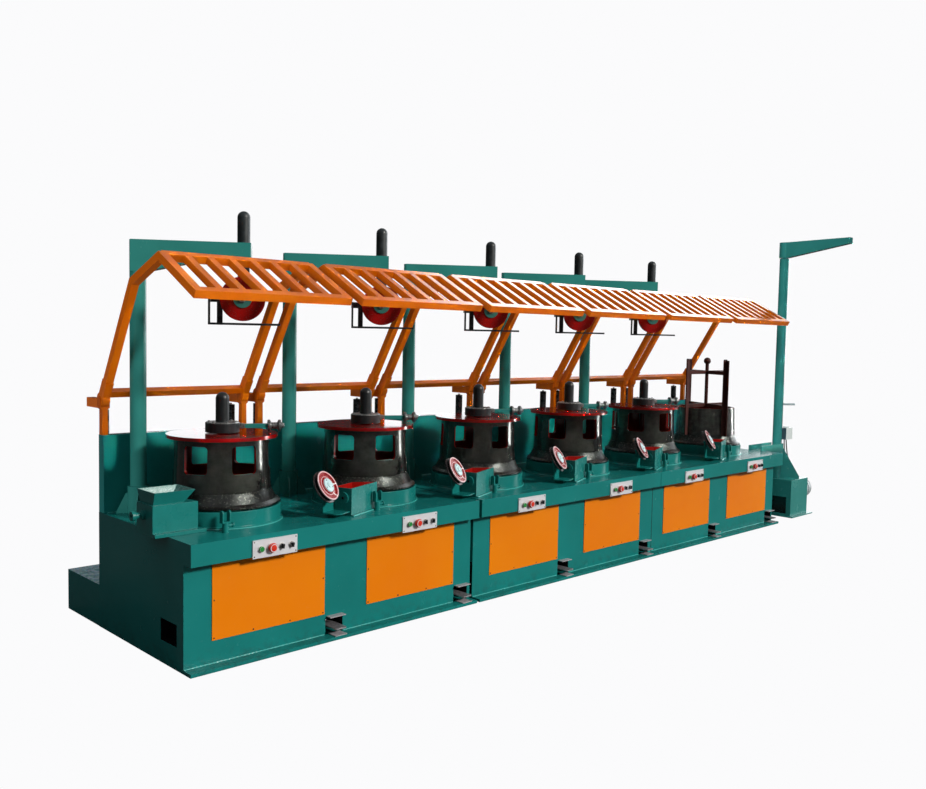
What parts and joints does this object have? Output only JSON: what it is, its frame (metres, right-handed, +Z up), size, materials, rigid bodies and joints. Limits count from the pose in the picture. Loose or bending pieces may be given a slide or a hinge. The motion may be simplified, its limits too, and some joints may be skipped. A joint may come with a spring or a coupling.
{
  "type": "wire drawing machine",
  "caption": "Straight line wire drawing machine: cabinet table with upright capstans, overhead sheaves, die boxes, hinged guards and a coil hoist at the end.",
  "frame": {"origin": "on the floor at the middle of the three base cabinets", "axes": "+X along the line from the wire inlet to the finishing block, +Y to the back, +Z up"},
  "size_m": [7.482, 2.0603, 2.827],
  "materials": {
    "table_green": "gloss",
    "seat_green": "gloss",
    "box_green": "gloss",
    "post_green": "gloss",
    "duct_grey": "satin",
    "panel_orange": "satin",
    "plate_grey": "satin",
    "bracket_steel": "satin",
    "bare_steel": "satin",
    "cap_black": "gloss",
    "guard_orange": "gloss",
    "motor_grey": "satin",
    "coil_brown": "satin",
    "drum_steel": "polished",
    "sheave_red": "gloss",
    "wheel_black": "satin",
    "pedal_grey": "satin",
    "cable_black": "matte"
  },
  "bodies": {
    "machine_frame": {"base_unit_1": "table_green", "base_unit_2": "table_green", "base_unit_3": "table_green", "rear_step_box": "duct_grey", "splash_wall": "table_green", "front_panels": "panel_orange", "control_plates": "plate_grey", "block_seats": "seat_green", "inlet_die_box": "box_green", "die_boxes": "box_green", "wheel_brackets": "bracket_steel", "wire_stops": "bare_steel", "sheave_posts": "post_green", "jib_caps": "cap_black", "sheave_hangers": "bracket_steel", "guard_supports": "guard_orange", "guard_dampers": "cap_black", "hoist_box": "box_green", "hoist_motor": "motor_grey", "hoist_tower": "post_green", "junction_box": "cap_black", "hoist_cables": "cable_black"},
    "block_1": {"block_1": "drum_steel"},
    "block_2": {"block_2": "drum_steel"},
    "block_3": {"block_3": "drum_steel"},
    "block_4": {"block_4": "drum_steel"},
    "block_5": {"block_5": "drum_steel"},
    "block_6": {"block_6": "drum_steel", "coil_frame": "coil_brown"},
    "flyer_1": {"flyer_1": "cap_black"},
    "sheave_1": {"sheave_1": "sheave_red"},
    "guide_wheel_2": {"guide_wheel_2": "wheel_black"},
    "flyer_2": {"flyer_2": "cap_black"},
    "sheave_2": {"sheave_2": "sheave_red"},
    "guide_wheel_3": {"guide_wheel_3": "wheel_black"},
    "flyer_3": {"flyer_3": "cap_black"},
    "sheave_3": {"sheave_3": "sheave_red"},
    "guide_wheel_4": {"guide_wheel_4": "wheel_black"},
    "flyer_4": {"flyer_4": "cap_black"},
    "sheave_4": {"sheave_4": "sheave_red"},
    "guide_wheel_5": {"guide_wheel_5": "wheel_black"},
    "flyer_5": {"flyer_5": "cap_black"},
    "sheave_5": {"sheave_5": "sheave_red"},
    "guide_wheel_6": {"guide_wheel_6": "wheel_black"},
    "guard_1": {"guard_1": "guard_orange"},
    "guard_2": {"guard_2": "guard_orange"},
    "guard_3": {"guard_3": "guard_orange"},
    "guard_4": {"guard_4": "guard_orange"},
    "guard_5": {"guard_5": "guard_orange"},
    "guard_6": {"guard_6": "guard_orange"},
    "pedal_1": {"pedal_1": "pedal_grey"},
    "pedal_2": {"pedal_2": "pedal_grey"},
    "pedal_3": {"pedal_3": "pedal_grey"},
    "pedal_4": {"pedal_4": "pedal_grey"},
    "pedal_5": {"pedal_5": "pedal_grey"},
    "pedal_6": {"pedal_6": "pedal_grey"},
    "hoist_boom": {"hoist_boom": "post_green"}
  },
  "joints": [
    {"name": "guard_1_swing", "type": "hinge", "parent": "machine_frame", "child": "guard_1", "pos_m": [-2.6965, 0.534, 1.379], "axis": [1, 0, 0], "range_deg": [0, 45]},
    {"name": "guard_2_swing", "type": "hinge", "parent": "machine_frame", "child": "guard_2", "pos_m": [-1.6365, 0.534, 1.379], "axis": [1, 0, 0], "range_deg": [0, 45]},
    {"name": "guard_3_swing", "type": "hinge", "parent": "machine_frame", "child": "guard_3", "pos_m": [-0.5765, 0.534, 1.379], "axis": [1, 0, 0], "range_deg": [0, 45]},
    {"name": "guard_4_swing", "type": "hinge", "parent": "machine_frame", "child": "guard_4", "pos_m": [0.4835, 0.534, 1.379], "axis": [1, 0, 0], "range_deg": [0, 45]},
    {"name": "guard_5_swing", "type": "hinge", "parent": "machine_frame", "child": "guard_5", "pos_m": [1.5435, 0.534, 1.379], "axis": [1, 0, 0], "range_deg": [0, 45]},
    {"name": "guard_6_swing", "type": "hinge", "parent": "machine_frame", "child": "guard_6", "pos_m": [2.6035, 0.534, 1.379], "axis": [1, 0, 0], "range_deg": [0, 45]},
    {"name": "hoist_boom_swing", "type": "hinge", "parent": "machine_frame", "child": "hoist_boom", "pos_m": [3.64, -0.268, 2.7], "axis": [0, 0, 1], "range_deg": [-90, 90]},
    {"name": "pedal_1_press", "type": "hinge", "parent": "machine_frame", "child": "pedal_1", "pos_m": [-2.2145, -0.37, 0.062], "axis": [1, 0, 0], "range_deg": [0, 7.5], "stiffness_Nm_per_rad": 25, "springref_deg": -3.44},
    {"name": "pedal_2_press", "type": "hinge", "parent": "machine_frame", "child": "pedal_2", "pos_m": [-1.1725, -0.37, 0.062], "axis": [1, 0, 0], "range_deg": [0, 7.5], "stiffness_Nm_per_rad": 25, "springref_deg": -3.44},
    {"name": "pedal_3_press", "type": "hinge", "parent": "machine_frame", "child": "pedal_3", "pos_m": [-0.0945, -0.37, 0.062], "axis": [1, 0, 0], "range_deg": [0, 7.5], "stiffness_Nm_per_rad": 25, "springref_deg": -3.44},
    {"name": "pedal_4_press", "type": "hinge", "parent": "machine_frame", "child": "pedal_4", "pos_m": [0.9475, -0.37, 0.062], "axis": [1, 0, 0], "range_deg": [0, 7.5], "stiffness_Nm_per_rad": 25, "springref_deg": -3.44},
    {"name": "pedal_5_press", "type": "hinge", "parent": "machine_frame", "child": "pedal_5", "pos_m": [2.0255, -0.37, 0.062], "axis": [1, 0, 0], "range_deg": [0, 7.5], "stiffness_Nm_per_rad": 25, "springref_deg": -3.44},
    {"name": "pedal_6_press", "type": "hinge", "parent": "machine_frame", "child": "pedal_6", "pos_m": [3.0675, -0.37, 0.062], "axis": [1, 0, 0], "range_deg": [0, 7.5], "stiffness_Nm_per_rad": 25, "springref_deg": -3.44},
    {"name": "block_1_turn", "type": "hinge", "parent": "machine_frame", "child": "block_1", "pos_m": [-2.7, -0.035, 0.9], "axis": [0, 0, 1], "continuous": true},
    {"name": "block_2_turn", "type": "hinge", "parent": "machine_frame", "child": "block_2", "pos_m": [-1.64, -0.035, 0.9], "axis": [0, 0, 1], "continuous": true},
    {"name": "block_3_turn", "type": "hinge", "parent": "machine_frame", "child": "block_3", "pos_m": [-0.58, -0.035, 0.9], "axis": [0, 0, 1], "continuous": true},
    {"name": "block_4_turn", "type": "hinge", "parent": "machine_frame", "child": "block_4", "pos_m": [0.48, -0.035, 0.9], "axis": [0, 0, 1], "continuous": true},
    {"name": "block_5_turn", "type": "hinge", "parent": "machine_frame", "child": "block_5", "pos_m": [1.54, -0.035, 0.9], "axis": [0, 0, 1], "continuous": true},
    {"name": "block_6_turn", "type": "hinge", "parent": "machine_frame", "child": "block_6", "pos_m": [2.6, -0.035, 0.9], "axis": [0, 0, 1], "continuous": true},
    {"name": "flyer_1_turn", "type": "hinge", "parent": "block_1", "child": "flyer_1", "pos_m": [-2.7, -0.035, 1.21], "axis": [0, 0, 1], "continuous": true},
    {"name": "sheave_1_turn", "type": "hinge", "parent": "machine_frame", "child": "sheave_1", "pos_m": [-2.54544, 0.005, 1.991], "axis": [-0.5821, -0.8131, 0], "continuous": true},
    {"name": "guide_wheel_2_turn", "type": "hinge", "parent": "machine_frame", "child": "guide_wheel_2", "pos_m": [-2.24897, -0.4457, 0.894], "axis": [0.3522, -0.7912, 0.5], "continuous": true},
    {"name": "flyer_2_turn", "type": "hinge", "parent": "block_2", "child": "flyer_2", "pos_m": [-1.64, -0.035, 1.21], "axis": [0, 0, 1], "continuous": true},
    {"name": "sheave_2_turn", "type": "hinge", "parent": "machine_frame", "child": "sheave_2", "pos_m": [-1.48544, 0.005, 1.991], "axis": [-0.5821, -0.8131, 0], "continuous": true},
    {"name": "guide_wheel_3_turn", "type": "hinge", "parent": "machine_frame", "child": "guide_wheel_3", "pos_m": [-1.18897, -0.4457, 0.894], "axis": [0.3522, -0.7912, 0.5], "continuous": true},
    {"name": "flyer_3_turn", "type": "hinge", "parent": "block_3", "child": "flyer_3", "pos_m": [-0.58, -0.035, 1.21], "axis": [0, 0, 1], "continuous": true},
    {"name": "sheave_3_turn", "type": "hinge", "parent": "machine_frame", "child": "sheave_3", "pos_m": [-0.42544, 0.005, 1.991], "axis": [-0.5821, -0.8131, 0], "continuous": true},
    {"name": "guide_wheel_4_turn", "type": "hinge", "parent": "machine_frame", "child": "guide_wheel_4", "pos_m": [-0.12897, -0.4457, 0.894], "axis": [0.3522, -0.7912, 0.5], "continuous": true},
    {"name": "flyer_4_turn", "type": "hinge", "parent": "block_4", "child": "flyer_4", "pos_m": [0.48, -0.035, 1.21], "axis": [0, 0, 1], "continuous": true},
    {"name": "sheave_4_turn", "type": "hinge", "parent": "machine_frame", "child": "sheave_4", "pos_m": [0.63456, 0.005, 1.991], "axis": [-0.5821, -0.8131, 0], "continuous": true},
    {"name": "guide_wheel_5_turn", "type": "hinge", "parent": "machine_frame", "child": "guide_wheel_5", "pos_m": [0.93103, -0.4457, 0.894], "axis": [0.3522, -0.7912, 0.5], "continuous": true},
    {"name": "flyer_5_turn", "type": "hinge", "parent": "block_5", "child": "flyer_5", "pos_m": [1.54, -0.035, 1.21], "axis": [0, 0, 1], "continuous": true},
    {"name": "sheave_5_turn", "type": "hinge", "parent": "machine_frame", "child": "sheave_5", "pos_m": [1.69456, 0.005, 1.991], "axis": [-0.5821, -0.8131, 0], "continuous": true},
    {"name": "guide_wheel_6_turn", "type": "hinge", "parent": "machine_frame", "child": "guide_wheel_6", "pos_m": [1.99103, -0.4457, 0.894], "axis": [0.3522, -0.7912, 0.5], "continuous": true}
  ]
}
